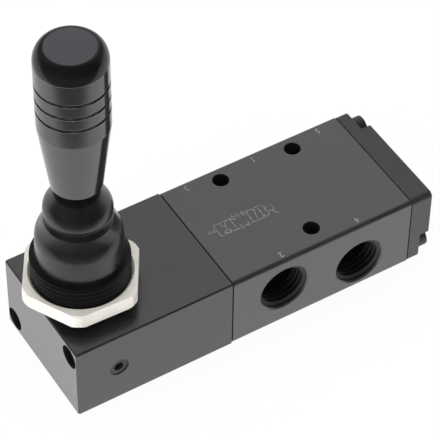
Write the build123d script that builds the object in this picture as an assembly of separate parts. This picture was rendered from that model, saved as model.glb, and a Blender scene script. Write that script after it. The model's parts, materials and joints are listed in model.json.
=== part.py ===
from build123d import *
from math import asin, cos, degrees, radians, sqrt, tan
import os

# Hand lever air valve: a five-port spool valve, shifted by an upright lever with three detents.
# Lengths are in millimetres. The origin is the middle of the underside, +X runs from the lever's
# end to the end cap, +Y from the side with two ports to the side with three, and +Z is up.

# Fits, as radial or end clearances
RUNNING = 0.05
SEATED = 0.02
SCREW_PASS = 0.2
END_PLAY = 0.25

# Housing: control block, gasket, valve body, gasket and end cap in a row
WIDTH = 35.0
HEIGHT = 22.0
BLOCK_EDGE_RADIUS = 0.5
BODY_EDGE_RADIUS = 1.2
CAP_EDGE_RADIUS = 1.6
CAP_END_RADIUS = 0.8
BLOCK_LENGTH = 42.7
BODY_LENGTH = 51.2
GASKET = 0.4
GASKET_INSET = 0.3
CAP_FLANGE = 3.2
CAP_BOSS = 3.0
END_CHAMFER = 0.35

# Corner screws, M3 with a hexagon socket, at each end on one diagonal of the section
SCREW_SIDE_DISTANCE = 3.5
SCREW_TOP_DISTANCE = 3.7
SCREW_RADIUS = 1.5
SCREW_HEAD_RADIUS = 2.75
SCREW_HEAD = 3.0
SCREW_SOCKET = 2.5
SOCKET_DEPTH = 1.5
SCREW_HEAD_SINK = 1.8
SCREW_GRIP = 6.5
COUNTERBORE_CLEARANCE = 0.3
CORNER_RECESS_Y = 7.4
CORNER_RECESS_Z = 8.3
CORNER_RECESS_RADIUS = 2.5

# Mounting holes for M4 screws, through the valve body
HOLE_RADIUS = 2.15
HOLE_SPACING = 21.0
FAR_HOLE_EDGE = 4.25
NEAR_HOLE_EDGE = 5.8

# Ports: G1/4 work and supply ports, G1/8 exhausts, at their threads' major radius
PORT_RADIUS = 6.6
PORT_DEPTH = 8.2
EXHAUST_RADIUS = 4.88
EXHAUST_DEPTH = 7.8
PORT_CHAMFER = 0.35
WORK_PORT_PITCH = 11.0
EXHAUST_END_DISTANCE = 6.35
LEVER_PORT_RISE = 1.0
CAP_PORT_DROP = 2.2

# Spool bore with its ring chambers
BORE_RADIUS = 7.0
CHAMBER_RADIUS = 8.6
CHAMBER_WIDTH = 4.0
EXHAUST_CHAMBER_WIDTH = 3.3
PASSAGE_RADIUS = 1.6

# Spool, its seals and the bushings at the bore's ends
STROKE = 3.0
SEAL_WIDTH = 1.5
SEAL_SECTION = 1.5
SEAL_LAP = 0.85
LAND_WIDTH = 2.3
LAND_CLEARANCE = 0.15
WAIST_RADIUS = 4.0
ROD_RADIUS = 5.0
SPOOL_TAIL = 6.2
SPOOL_NOSE = 1.3
BUSHING_RADIUS = 8.0
BUSHING_LENGTH = 4.0
BUSHING_LIP = 0.6
ROD_SEAL_SECTION = 1.35

# Actuator rod between the lever and the spool
END_WALL = 3.6
STUD_RADIUS = 2.5
STUD_LENGTH = 7.0
COUPLING_PIN_RADIUS = 1.0
COUPLING_PIN_DISTANCE = 3.3
SOCKET_FLOOR = 3.4
SOCKET_SHOULDER = 1.6
SOCKET_MOUTH_CLEARANCE = 1.6

# Detent in the block's side: ball, spring and M5 set screw
DETENT_BALL_RADIUS = 2.0
NOTCH_DEPTH = 0.6
SET_SCREW_RADIUS = 2.5
SET_SCREW_LENGTH = 5.0
SET_SCREW_SOCKET = 2.5
SET_SCREW_RECESS = 0.25
SPRING_RADIUS = 1.45
SPRING_WIRE = 0.22
SPRING_TURNS = 4

# Threaded neck, M24, and its hexagon nut
LEVER_SETBACK = 11.4
NECK_RADIUS = 12.0
NECK_FOOT_RADIUS = 10.9
NECK_FOOT = 3.2
NECK_THREAD = 10.0
NECK_SPIGOT_RADIUS = 9.0
NECK_FLOOR = 0.95
NECK_SEAL_DEPTH = 2.0
BOOT_SEAT_RADIUS = 9.3
BOOT_SEAT = 6.2
NUT_ACROSS_FLATS = 27.0
NUT_THICKNESS = 4.0
NUT_RISE = 3.3
NUT_TURN = -2.0
NUT_CHAMFER = 1.1

# Lever
PIVOT_RISE = 1.8
PIVOT_PIN_RADIUS = 1.25
PIVOT_PIN_INSET = 0.8
HUB_RADIUS = 4.2
HUB_CLEARANCE = 0.3
SHAFT_RADIUS = 3.0
ARM_RADIUS = 1.9
LEVER_BALL_RADIUS = 2.5
LEVER_BALL_PLAY = 0.1
SWING_CLEARANCE = 0.4

# Rubber boot, measured up from its foot on the neck
BOOT_RADIUS = 10.7
BOOT_SHOULDER_RADIUS = 10.4
BOOT_BAND = 7.1
BOOT_WAIST_RADIUS = 7.3
BOOT_WAIST = 13.6
BOOT_FOLD = 1.6
BOOT_BULGE_RADIUS = 8.2
BOOT_TOP_RADIUS = 5.4
BOOT_HEIGHT = 20.8
BOOT_WALL = 1.3

# Handle
HANDLE_GAP = 3.0
GRIP_FOOT_RADIUS = 6.2
GRIP_RADIUS = 8.5
GRIP_TAPER = 19.4
GRIP_LENGTH = 38.0
GRIP_EDGE = 0.6
GROOVE_COUNT = 3
GROOVE_PITCH = 3.8
GROOVE_WIDTH = 0.9
GROOVE_DEPTH = 0.45
GROOVE_FROM_TOP = 5.75
CAP_PLUG_RADIUS = 6.0
CAP_PLUG = 4.5
CAP_HEIGHT = 4.2
CAP_ROUND = 2.2

# Places along X
LENGTH = BLOCK_LENGTH + BODY_LENGTH + 2 * GASKET + CAP_FLANGE + CAP_BOSS
BLOCK_END = -LENGTH / 2
BLOCK_SEAM = BLOCK_END + BLOCK_LENGTH
BODY_START = BLOCK_SEAM + GASKET
BODY_END = BODY_START + BODY_LENGTH
BODY_MIDDLE = (BODY_START + BODY_END) / 2
CAP_START = BODY_END + GASKET
CAP_SEAT = CAP_START + CAP_FLANGE
BLOCK_SCREW_SEAT = BLOCK_END + SCREW_HEAD_SINK + SCREW_HEAD
LEVER_X = BLOCK_END + LEVER_SETBACK
ROD_BORE_START = BLOCK_END + END_WALL
EXHAUST_PITCH = BODY_LENGTH / 2 - EXHAUST_END_DISTANCE

# Places up Z
AXIS_Z = HEIGHT / 2
SPIGOT_Z = AXIS_Z + ROD_RADIUS + RUNNING + NECK_FLOOR
PIVOT_Z = HEIGHT + PIVOT_RISE
THREAD_Z = HEIGHT + NECK_FOOT
BOOT_Z = THREAD_Z + NECK_THREAD
GRIP_Z = BOOT_Z + BOOT_HEIGHT + HANDLE_GAP
GRIP_TOP = GRIP_Z + GRIP_LENGTH
LEVER_TOP = GRIP_TOP - CAP_PLUG - END_PLAY

# Swing of the lever that drives the spool through its stroke
SWING = asin(STROKE / (PIVOT_Z - AXIS_Z))

ON_END = (Align.CENTER, Align.CENTER, Align.MIN)


def along_x(radius, start, end, y=0.0, z=AXIS_Z):
    """Cylinder that runs along X."""
    return Pos(start, y, z) * Rot(0, 90, 0) * Cylinder(radius, end - start, align=ON_END)


def along_y(radius, start, end, x, z=AXIS_Z):
    """Cylinder that runs along Y."""
    return Pos(x, start, z) * Rot(-90, 0, 0) * Cylinder(radius, end - start, align=ON_END)


def along_z(radius, start, end, x=LEVER_X, y=0.0):
    """Cylinder that runs along Z."""
    return Pos(x, y, start) * Cylinder(radius, end - start, align=ON_END)


def section(start, end, edge, inset=0.0):
    """Length of the housing's section with rounded long edges."""
    outline = Plane.YZ * RectangleRounded(WIDTH - 2 * inset, HEIGHT - 2 * inset, edge)
    return extrude(Pos(start, 0, AXIS_Z) * outline, amount=end - start)


def turned(outline):
    """Body of revolution about the lever's upright axis, from a closed outline in X and Z."""
    return Pos(LEVER_X, 0, 0) * revolve(make_face(Plane.XZ * outline), Axis.Z)


def ring_x(outer, inner, start, end):
    """Ring on the spool's axis."""
    return along_x(outer, start, end) - along_x(inner, start, end)


def diagonal(side):
    """The two screw places of an end: side 1 for the lever's end, -1 for the cap's end."""
    y = side * (WIDTH / 2 - SCREW_SIDE_DISTANCE)
    return [(-y, HEIGHT - SCREW_TOP_DISTANCE), (y, SCREW_TOP_DISTANCE)]


# ---- housing ----


def control_block():
    """Block that carries the lever and guides the actuator rod."""
    block = section(BLOCK_END, BLOCK_SEAM, BLOCK_EDGE_RADIUS)
    block = chamfer(block.faces().sort_by(Axis.X)[0].edges(), END_CHAMFER)
    block -= along_x(ROD_RADIUS + RUNNING, ROD_BORE_START, BLOCK_SEAM)
    block -= along_z(NECK_SPIGOT_RADIUS + SEATED, SPIGOT_Z, HEIGHT)
    block -= along_z(HUB_RADIUS + HUB_CLEARANCE, AXIS_Z, SPIGOT_Z)
    side = -WIDTH / 2
    inner_end = side + SET_SCREW_RECESS + SET_SCREW_LENGTH
    block -= along_y(SET_SCREW_RADIUS + SEATED, side, inner_end, LEVER_X)
    block -= along_y(DETENT_BALL_RADIUS + RUNNING, inner_end, 0, LEVER_X)
    for y, z in diagonal(1):
        head = SCREW_HEAD_RADIUS + COUNTERBORE_CLEARANCE
        block -= along_x(head, BLOCK_END, BLOCK_SCREW_SEAT, y, z)
        block -= along_x(SCREW_RADIUS + SCREW_PASS, BLOCK_END, BLOCK_SEAM, y, z)
    return block


def chambers():
    """Places and widths of the five ring chambers along the bore."""
    inner = [(BODY_MIDDLE + step * WORK_PORT_PITCH, CHAMBER_WIDTH) for step in (-1, 0, 1)]
    outer = [(BODY_MIDDLE + step * EXHAUST_PITCH, EXHAUST_CHAMBER_WIDTH) for step in (-1, 1)]
    return inner + outer


def port(radius, depth, x, z, side):
    """Chamfered port and its passage to the bore, on side -1 or 1 of the body."""
    tool = along_z(radius, 0, depth, 0) + along_z(PASSAGE_RADIUS, 0, WIDTH / 2, 0)
    tool += Cone(radius + PORT_CHAMFER, radius, PORT_CHAMFER, align=ON_END)
    return Pos(x, side * WIDTH / 2, z) * Rot(90 * side, 0, 0) * tool


def body_ports():
    """Two staggered work ports on one side, the supply between two exhausts on the other."""
    low = BODY_MIDDLE - WORK_PORT_PITCH
    high = BODY_MIDDLE + WORK_PORT_PITCH
    ports = [port(PORT_RADIUS, PORT_DEPTH, low, AXIS_Z + LEVER_PORT_RISE, -1)]
    ports += [port(PORT_RADIUS, PORT_DEPTH, high, AXIS_Z - CAP_PORT_DROP, -1)]
    ports += [port(PORT_RADIUS, PORT_DEPTH, BODY_MIDDLE, AXIS_Z, 1)]
    for step in (-1, 1):
        x = BODY_MIDDLE + step * EXHAUST_PITCH
        ports += [port(EXHAUST_RADIUS, EXHAUST_DEPTH, x, AXIS_Z, 1)]
    return ports


def mounting_holes():
    """Places of the mounting holes: a pair on the far side and one on the near side."""
    far = WIDTH / 2 - FAR_HOLE_EDGE
    near = NEAR_HOLE_EDGE - WIDTH / 2
    half = HOLE_SPACING / 2
    return [(BODY_MIDDLE - half, far), (BODY_MIDDLE + half, far), (BODY_MIDDLE, near)]


def valve_body():
    """Body with the spool bore, five ring chambers, five ports and three mounting holes."""
    body = section(BODY_START, BODY_END, BODY_EDGE_RADIUS)
    body -= along_x(BORE_RADIUS, BODY_START, BODY_END)
    for x, width in chambers():
        body -= along_x(CHAMBER_RADIUS, x - width / 2, x + width / 2)
    for start, end in bushing_spans():
        body -= along_x(BUSHING_RADIUS + SEATED, start, end)
    for cut in body_ports():
        body -= cut
    for x, y in mounting_holes():
        body -= along_z(HOLE_RADIUS, 0, HEIGHT, x, y)
    for y, z in diagonal(1):
        body -= along_x(SCREW_RADIUS + SEATED, BODY_START, BODY_START + SCREW_GRIP + END_PLAY, y, z)
    for y, z in diagonal(-1):
        body -= along_x(SCREW_RADIUS + SEATED, BODY_END - SCREW_GRIP - END_PLAY, BODY_END, y, z)
    return body


def gasket(start, side):
    """Flat gasket between two parts of the housing."""
    plate = section(start, start + GASKET, BODY_EDGE_RADIUS, GASKET_INSET)
    plate -= along_x(ROD_RADIUS + COUNTERBORE_CLEARANCE, start, start + GASKET)
    for y, z in diagonal(side):
        plate -= along_x(SCREW_RADIUS + SCREW_PASS, start, start + GASKET, y, z)
    return plate


def end_cap():
    """Cap over the bore's far end, recessed at two corners for its screws."""
    end = CAP_SEAT + CAP_BOSS
    cap = section(CAP_START, end, CAP_EDGE_RADIUS)
    cap = fillet(cap.faces().sort_by(Axis.X)[-1].edges(), CAP_END_RADIUS)
    pocket = SPOOL_NOSE + STROKE - GASKET + END_PLAY
    cap -= along_x(ROD_RADIUS + COUNTERBORE_CLEARANCE, CAP_START, CAP_START + pocket)
    for y, z in diagonal(-1):
        turn = 1 if y > 0 else -1
        outline = RectangleRounded(2 * CORNER_RECESS_Y, 2 * CORNER_RECESS_Z, CORNER_RECESS_RADIUS)
        corner = Pos(CAP_SEAT, turn * WIDTH / 2, AXIS_Z + turn * HEIGHT / 2)
        cap -= extrude(corner * (Plane.YZ * outline), amount=CAP_BOSS)
        cap -= along_x(SCREW_RADIUS + SCREW_PASS, CAP_START, CAP_SEAT, y, z)
    return cap


def socket_screw(seat, end, y, z, outward):
    """M3 socket screw along X, with its head outward of the seat: -1 for -X, 1 for +X."""
    top = seat + outward * SCREW_HEAD
    floor = top - outward * SOCKET_DEPTH
    screw = along_x(SCREW_HEAD_RADIUS, min(seat, top), max(seat, top), y, z)
    screw += along_x(SCREW_RADIUS, min(seat, end), max(seat, end), y, z)
    key = Plane.YZ * RegularPolygon(SCREW_SOCKET / 2, 6, major_radius=False)
    return screw - extrude(Pos(floor, y, z) * key, amount=outward * SOCKET_DEPTH)


def block_screws():
    """Two long screws that pull the control block to the body."""
    end = BODY_START + SCREW_GRIP
    return Compound([socket_screw(BLOCK_SCREW_SEAT, end, y, z, -1) for y, z in diagonal(1)])


def end_cap_screws():
    """Two short screws that pull the end cap to the body."""
    end = BODY_END - SCREW_GRIP
    return Compound([socket_screw(CAP_SEAT, end, y, z, 1) for y, z in diagonal(-1)])


# ---- spool train ----


def seal_places():
    """Middles of the four spool seals: each just past the edge of a work port's chamber."""
    reach = CHAMBER_WIDTH / 2 + SEAL_LAP
    places = []
    for step in (-1, 1):
        middle = BODY_MIDDLE + step * WORK_PORT_PITCH
        places += [middle - reach, middle + reach]
    return places


def bushing_spans():
    """Starts and ends of the two bushings along X."""
    return [(BODY_START, BODY_START + BUSHING_LENGTH), (BODY_END - BUSHING_LENGTH, BODY_END)]


def rod_seal_spans():
    """Starts and ends of the seal grooves in the bushings, each beside the bore's inside."""
    low = BODY_START + BUSHING_LENGTH - BUSHING_LIP
    high = BODY_END - BUSHING_LENGTH + BUSHING_LIP
    return [(low - SEAL_WIDTH, low), (high, high + SEAL_WIDTH)]


def spool():
    """Spool with four sealed lands, a journal at each end and a tail for the actuator rod."""
    tail = BODY_START - SPOOL_TAIL
    nose = BODY_END + SPOOL_NOSE
    journal = BUSHING_LENGTH + STROKE
    shape = along_x(WAIST_RADIUS, tail, nose)
    shape += along_x(ROD_RADIUS, tail, BODY_START + journal)
    shape += along_x(ROD_RADIUS, BODY_END - journal, nose)
    for x in seal_places():
        shape += along_x(BORE_RADIUS - LAND_CLEARANCE, x - LAND_WIDTH / 2, x + LAND_WIDTH / 2)
    for x in seal_places():
        groove = BORE_RADIUS - RUNNING - SEAL_SECTION - SEATED
        half = SEAL_WIDTH / 2 + SEATED
        shape -= ring_x(BORE_RADIUS, groove, x - half, x + half)
    shape -= along_x(STUD_RADIUS + SEATED, tail, tail + STUD_LENGTH + END_PLAY)
    return shape - coupling_pin_hole()


def spool_seals():
    """Four sealing rings on the spool's lands."""
    outer = BORE_RADIUS - RUNNING
    inner = outer - SEAL_SECTION
    half = SEAL_WIDTH / 2
    return Compound([ring_x(outer, inner, x - half, x + half) for x in seal_places()])


def bushing(index):
    """Bushing that guides a journal and holds its seal."""
    start, end = bushing_spans()[index]
    seal_start, seal_end = rod_seal_spans()[index]
    ring = ring_x(BUSHING_RADIUS, ROD_RADIUS + RUNNING, start, end)
    groove = ROD_RADIUS + RUNNING + ROD_SEAL_SECTION + SEATED
    return ring - along_x(groove, seal_start - SEATED, seal_end + SEATED)


def rod_seal(index):
    """Seal inside a bushing, around the spool's journal."""
    start, end = rod_seal_spans()[index]
    inner = ROD_RADIUS + RUNNING
    return ring_x(inner + ROD_SEAL_SECTION, inner, start, end)


def coupling_pin_hole():
    """Cross hole through the spool's tail and the rod's stud."""
    x = BODY_START - COUPLING_PIN_DISTANCE
    return along_y(COUPLING_PIN_RADIUS + SEATED, -ROD_RADIUS, ROD_RADIUS, x)


def coupling_pin():
    """Pin that locks the actuator rod to the spool."""
    half = ROD_RADIUS - RUNNING - END_PLAY
    return along_y(COUPLING_PIN_RADIUS, -half, half, BODY_START - COUPLING_PIN_DISTANCE)


def lever_socket():
    """Socket for the lever's ball, with a wide mouth that the lever's arm swings in."""
    radius = LEVER_BALL_RADIUS + LEVER_BALL_PLAY
    shoulder = AXIS_Z + SOCKET_SHOULDER
    mouth_height = ROD_RADIUS - SOCKET_SHOULDER
    tool = along_z(radius, AXIS_Z - SOCKET_FLOOR, shoulder)
    mouth = Cone(radius, radius + SOCKET_MOUTH_CLEARANCE, mouth_height, align=ON_END)
    return tool + Pos(LEVER_X, 0, shoulder) * mouth


def actuator_rod():
    """Rod with a socket for the lever's ball and three detent notches in its side."""
    start = ROD_BORE_START + STROKE + END_PLAY
    tail = BODY_START - SPOOL_TAIL
    rod = along_x(ROD_RADIUS, start, tail) + along_x(STUD_RADIUS, start, tail + STUD_LENGTH)
    rod -= lever_socket()
    seat_y = -(ROD_RADIUS - NOTCH_DEPTH + DETENT_BALL_RADIUS)
    for step in (-1, 0, 1):
        rod -= Pos(LEVER_X + step * STROKE, seat_y, AXIS_Z) * Sphere(DETENT_BALL_RADIUS)
    return rod - coupling_pin_hole()


# ---- detent ----


def detent_ball_y():
    """Middle of the detent ball, level with the ridges between the notches."""
    return -(ROD_RADIUS + RUNNING + DETENT_BALL_RADIUS)


def set_screw_end():
    """Inner end of the set screw."""
    return -WIDTH / 2 + SET_SCREW_RECESS + SET_SCREW_LENGTH


def detent_ball():
    """Ball that drops into the rod's notches."""
    return Pos(LEVER_X, detent_ball_y(), AXIS_Z) * Sphere(DETENT_BALL_RADIUS)


def detent_spring():
    """Coil spring that presses the ball, from the set screw to the ball's back."""
    contact = DETENT_BALL_RADIUS + SPRING_WIRE + SEATED
    start = detent_ball_y() - sqrt(contact**2 - SPRING_RADIUS**2)
    end = set_screw_end() + SPRING_WIRE + SEATED
    pitch = (start - end) / SPRING_TURNS
    path = Helix(pitch, start - end, SPRING_RADIUS)
    wire = Plane(path @ 0, z_dir=path % 0) * RegularPolygon(SPRING_WIRE, 6)
    return Pos(LEVER_X, end, AXIS_Z) * Rot(-90, 0, 0) * sweep(wire, path, is_frenet=True)


def detent_set_screw():
    """M5 set screw with a hexagon socket, just below the block's side."""
    outer = -WIDTH / 2 + SET_SCREW_RECESS
    screw = along_y(SET_SCREW_RADIUS, outer, set_screw_end(), LEVER_X)
    key = Plane.XZ * RegularPolygon(SET_SCREW_SOCKET / 2, 6, major_radius=False)
    floor = outer + SET_SCREW_LENGTH / 2
    return screw - extrude(Pos(LEVER_X, floor, AXIS_Z) * key, amount=SET_SCREW_LENGTH / 2)


# ---- neck and nut ----


def neck_bore():
    """Room for the lever in the neck: a bore round its hub and a flare for its swing."""
    hub = HUB_RADIUS + HUB_CLEARANCE
    flare_start = PIVOT_Z + SHAFT_RADIUS
    top = BOOT_Z + BOOT_SEAT
    swing = (top - PIVOT_Z) * tan(SWING) + SHAFT_RADIUS / cos(SWING) + SWING_CLEARANCE
    flare = Pos(LEVER_X, 0, flare_start) * Cone(hub, swing, top - flare_start, align=ON_END)
    return along_z(hub, SPIGOT_Z, flare_start) + flare


def neck_seal_span():
    """Bottom and top of the seal groove in the neck's spigot."""
    top = HEIGHT - NECK_SEAL_DEPTH
    return top - SEAL_WIDTH, top


def threaded_neck():
    """Neck that screws into the block: spigot, undercut foot, M24 thread and boot seat."""
    neck = along_z(NECK_SPIGOT_RADIUS, SPIGOT_Z, HEIGHT)
    neck += along_z(NECK_FOOT_RADIUS, HEIGHT, THREAD_Z)
    neck += along_z(NECK_RADIUS, THREAD_Z, BOOT_Z)
    neck += along_z(BOOT_SEAT_RADIUS, BOOT_Z, BOOT_Z + BOOT_SEAT)
    neck = chamfer(neck.edges().filter_by(GeomType.CIRCLE).group_by(Axis.Z)[-1], END_CHAMFER)
    bottom, top = neck_seal_span()
    groove = NECK_SPIGOT_RADIUS - SEAL_SECTION - SEATED
    neck -= along_z(NECK_SPIGOT_RADIUS, bottom - SEATED, top + SEATED) - along_z(groove, 0, HEIGHT)
    neck -= neck_bore()
    return neck - along_y(PIVOT_PIN_RADIUS + SEATED, -NECK_RADIUS, NECK_RADIUS, LEVER_X, PIVOT_Z)


def neck_seal():
    """Sealing ring between the neck's spigot and the block."""
    bottom, top = neck_seal_span()
    inner = NECK_SPIGOT_RADIUS - SEAL_SECTION
    return along_z(NECK_SPIGOT_RADIUS, bottom, top) - along_z(inner, bottom, top)


def panel_nut():
    """Hexagon nut with turned corners on the neck's thread."""
    hexagon = RegularPolygon(NUT_ACROSS_FLATS / 2, 6, major_radius=False)
    bottom = HEIGHT + NUT_RISE
    nut = extrude(Pos(LEVER_X, 0, bottom) * (Rot(0, 0, NUT_TURN) * hexagon), amount=NUT_THICKNESS)
    corner = NUT_ACROSS_FLATS / 2 / cos(radians(30))
    blank = along_z(corner, bottom, bottom + NUT_THICKNESS)
    blank = chamfer(blank.edges().filter_by(GeomType.CIRCLE), NUT_CHAMFER / 2, NUT_CHAMFER)
    nut = nut & blank
    return nut - along_z(NECK_RADIUS + RUNNING, bottom, bottom + NUT_THICKNESS)


# ---- lever ----


def quarter(start, end):
    """Arc that leaves start upright and bends inward to end."""
    return TangentArc(start, end, tangent=(0, 1))


def pivot_pin():
    """Pin across the neck that the lever turns on."""
    half = NECK_FOOT_RADIUS - PIVOT_PIN_INSET
    return along_y(PIVOT_PIN_RADIUS, -half, half, LEVER_X, PIVOT_Z)


def lever_shaft():
    """Lever: ball end in the rod, arm, hub on the pivot pin and shaft into the handle."""
    lever = Pos(LEVER_X, 0, AXIS_Z) * Sphere(LEVER_BALL_RADIUS)
    lever += along_z(ARM_RADIUS, AXIS_Z, PIVOT_Z)
    lever += Pos(LEVER_X, 0, PIVOT_Z) * Sphere(HUB_RADIUS)
    lever += along_z(SHAFT_RADIUS, PIVOT_Z, LEVER_TOP)
    return lever - along_y(PIVOT_PIN_RADIUS + RUNNING, -HUB_RADIUS, HUB_RADIUS, LEVER_X, PIVOT_Z)


def rubber_boot():
    """Hollow rubber boot: straight band, rounded shoulder, waist, upper bulge and lip."""
    foot = BOOT_Z
    band = foot + BOOT_BAND
    waist = foot + BOOT_WAIST
    bulge = waist + BOOT_FOLD
    top = foot + BOOT_HEIGHT
    seat = BOOT_SEAT_RADIUS + RUNNING
    lip = SHAFT_RADIUS + RUNNING
    neck = BOOT_WAIST_RADIUS - BOOT_WALL
    outline = [
        Line((seat, foot), (BOOT_RADIUS, foot)),
        Line((BOOT_RADIUS, foot), (BOOT_SHOULDER_RADIUS, band)),
        quarter((BOOT_SHOULDER_RADIUS, band), (BOOT_WAIST_RADIUS, waist)),
        Line((BOOT_WAIST_RADIUS, waist), (BOOT_BULGE_RADIUS, bulge)),
        quarter((BOOT_BULGE_RADIUS, bulge), (BOOT_TOP_RADIUS, top)),
        Line((BOOT_TOP_RADIUS, top), (lip, top)),
        Line((lip, top), (lip, top - BOOT_WALL)),
        Line((lip, top - BOOT_WALL), (neck, waist)),
        Line((neck, waist), (seat, band)),
        Line((seat, band), (seat, foot)),
    ]
    return turned(Wire(outline))


def handle_grip():
    """Tapered grip with turned grooves, screwed on the lever's shaft."""
    shoulder = GRIP_Z + GRIP_TAPER
    outline = Polyline(
        (0, GRIP_Z),
        (GRIP_FOOT_RADIUS - GRIP_EDGE, GRIP_Z),
        (GRIP_FOOT_RADIUS, GRIP_Z + GRIP_EDGE),
        (GRIP_RADIUS, shoulder),
        (GRIP_RADIUS, GRIP_TOP),
        (0, GRIP_TOP),
        close=True,
    )
    grip = turned(outline)
    for index in range(GROOVE_COUNT):
        middle = GRIP_TOP - GROOVE_FROM_TOP - index * GROOVE_PITCH
        low, high = middle - GROOVE_WIDTH / 2, middle + GROOVE_WIDTH / 2
        core = along_z(GRIP_RADIUS - GROOVE_DEPTH, low, high)
        grip -= along_z(GRIP_RADIUS, low, high) - core
    grip -= along_z(SHAFT_RADIUS + SEATED, GRIP_Z, GRIP_TOP)
    return grip - along_z(CAP_PLUG_RADIUS + SEATED, GRIP_TOP - CAP_PLUG, GRIP_TOP)


def handle_cap():
    """Round-edged cap that plugs into the grip's top."""
    cap = along_z(GRIP_RADIUS, GRIP_TOP, GRIP_TOP + CAP_HEIGHT)
    rim = cap.edges().filter_by(GeomType.CIRCLE).sort_by(Axis.Z)[-1]
    return fillet(rim, CAP_ROUND) + along_z(CAP_PLUG_RADIUS, GRIP_TOP - CAP_PLUG, GRIP_TOP)


PARTS = {
    "control_block": control_block(),
    "valve_body": valve_body(),
    "end_cap": end_cap(),
    "block_gasket": gasket(BLOCK_SEAM, 1),
    "end_cap_gasket": gasket(BODY_END, -1),
    "block_screws": block_screws(),
    "end_cap_screws": end_cap_screws(),
    "spool": spool(),
    "spool_seals": spool_seals(),
    "lever_side_bushing": bushing(0),
    "cap_side_bushing": bushing(1),
    "lever_side_rod_seal": rod_seal(0),
    "cap_side_rod_seal": rod_seal(1),
    "actuator_rod": actuator_rod(),
    "coupling_pin": coupling_pin(),
    "detent_ball": detent_ball(),
    "detent_spring": detent_spring(),
    "detent_set_screw": detent_set_screw(),
    "threaded_neck": threaded_neck(),
    "neck_seal": neck_seal(),
    "panel_nut": panel_nut(),
    "pivot_pin": pivot_pin(),
    "lever_shaft": lever_shaft(),
    "rubber_boot": rubber_boot(),
    "handle_grip": handle_grip(),
    "handle_cap": handle_cap(),
}

os.makedirs("parts", exist_ok=True)
for name, shape in PARTS.items():
    export_step(shape, f"parts/{name}.step")
print(f"swing {degrees(SWING):.3f} degrees, lever at x {LEVER_X:.3f}, pivot at z {PIVOT_Z:.3f}")
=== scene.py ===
"""Looks of a hand lever air valve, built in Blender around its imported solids.

The solids get procedural finishes. The rubber boot, the threaded neck, the nut and the handle's cap
are replaced by finer meshes, and port threads, port numbers and a flow symbol are added.
"""

import json
import logging
import math
from dataclasses import dataclass, field, replace
from enum import Enum
from functools import cache
from typing import Any, Mapping, Sequence

import bmesh
import bpy
from bpy.types import Material, Mesh, Node, NodeSocket, NodeTree, Object
from mathutils import Matrix, Vector


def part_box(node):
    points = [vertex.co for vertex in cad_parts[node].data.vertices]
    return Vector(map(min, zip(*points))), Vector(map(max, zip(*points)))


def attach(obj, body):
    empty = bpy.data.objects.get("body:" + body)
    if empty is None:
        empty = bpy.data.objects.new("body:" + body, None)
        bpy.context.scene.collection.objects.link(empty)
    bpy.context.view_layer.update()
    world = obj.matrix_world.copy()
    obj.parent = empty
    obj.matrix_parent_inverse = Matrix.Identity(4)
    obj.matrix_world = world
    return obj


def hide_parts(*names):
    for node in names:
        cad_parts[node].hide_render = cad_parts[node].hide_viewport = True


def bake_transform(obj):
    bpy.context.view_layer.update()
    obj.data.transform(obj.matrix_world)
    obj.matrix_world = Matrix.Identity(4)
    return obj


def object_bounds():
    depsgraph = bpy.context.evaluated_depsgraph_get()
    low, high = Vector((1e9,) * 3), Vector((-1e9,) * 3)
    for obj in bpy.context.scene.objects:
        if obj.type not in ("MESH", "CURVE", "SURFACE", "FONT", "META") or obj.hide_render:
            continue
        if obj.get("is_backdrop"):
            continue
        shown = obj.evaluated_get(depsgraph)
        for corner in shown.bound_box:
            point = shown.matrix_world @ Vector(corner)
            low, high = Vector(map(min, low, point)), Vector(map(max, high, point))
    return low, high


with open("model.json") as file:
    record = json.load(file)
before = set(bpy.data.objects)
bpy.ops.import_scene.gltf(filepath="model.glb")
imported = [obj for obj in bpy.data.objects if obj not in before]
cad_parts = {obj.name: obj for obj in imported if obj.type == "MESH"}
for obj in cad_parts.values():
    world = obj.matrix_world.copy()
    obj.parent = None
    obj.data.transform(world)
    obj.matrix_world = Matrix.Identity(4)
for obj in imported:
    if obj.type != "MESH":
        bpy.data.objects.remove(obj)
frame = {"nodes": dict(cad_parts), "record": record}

LOG = logging.getLogger("valve")
MM = 0.001

Colour = tuple[float, float, float]
Outline = list[tuple[float, float]]

WHITE = (1.0, 1.0, 1.0, 1.0)
CLOUD_RANGE = (0.3, 0.7)        # noise at which patches start and are full
EDGE_HIGHLIGHT_COSINES = (0.99, 0.86)     # turn of the rounded normal at which the painted edge highlight starts and is full
BREAKUP_RANGE = (0.35, 0.65)    # noise between the least and the full painted edge highlight
LEAST_EDGE_HIGHLIGHT = 0.35
GRAIN_ON_TURNED = 0.25          # how much of the grain turned faces show
THREAD_STEPS = 56               # points on one turn of a thread
THREAD_FOOT = 0.47              # half width of a thread's foot, in pitches
THREAD_TIP = 0.06               # half width of its tip, in pitches
THREAD_SMOOTH = 30.0            # angle up to which threads are shaded smooth, in degrees
THREAD_INPUTS = ("Radius", "Depth", "Pitch", "Length")
BEAD_CORNERS = ((-1, 0), (-0.4, 1), (0.4, 1), (1, 0))       # along and out, in shares of its sizes


def grey(share: float) -> Colour:
    """Gives a plain grey."""
    return (share, share, share)


class Body(Enum):
    """Moving bodies of the valve."""

    HOUSING = "housing"
    LEVER = "lever"


class Turning(Enum):
    """How a piece was turned, as the angle about Y that sets its axis upright."""

    NONE = None
    UPRIGHT = 0.0
    LENGTHWISE = math.pi / 2


# ---- nodes ----


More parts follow.
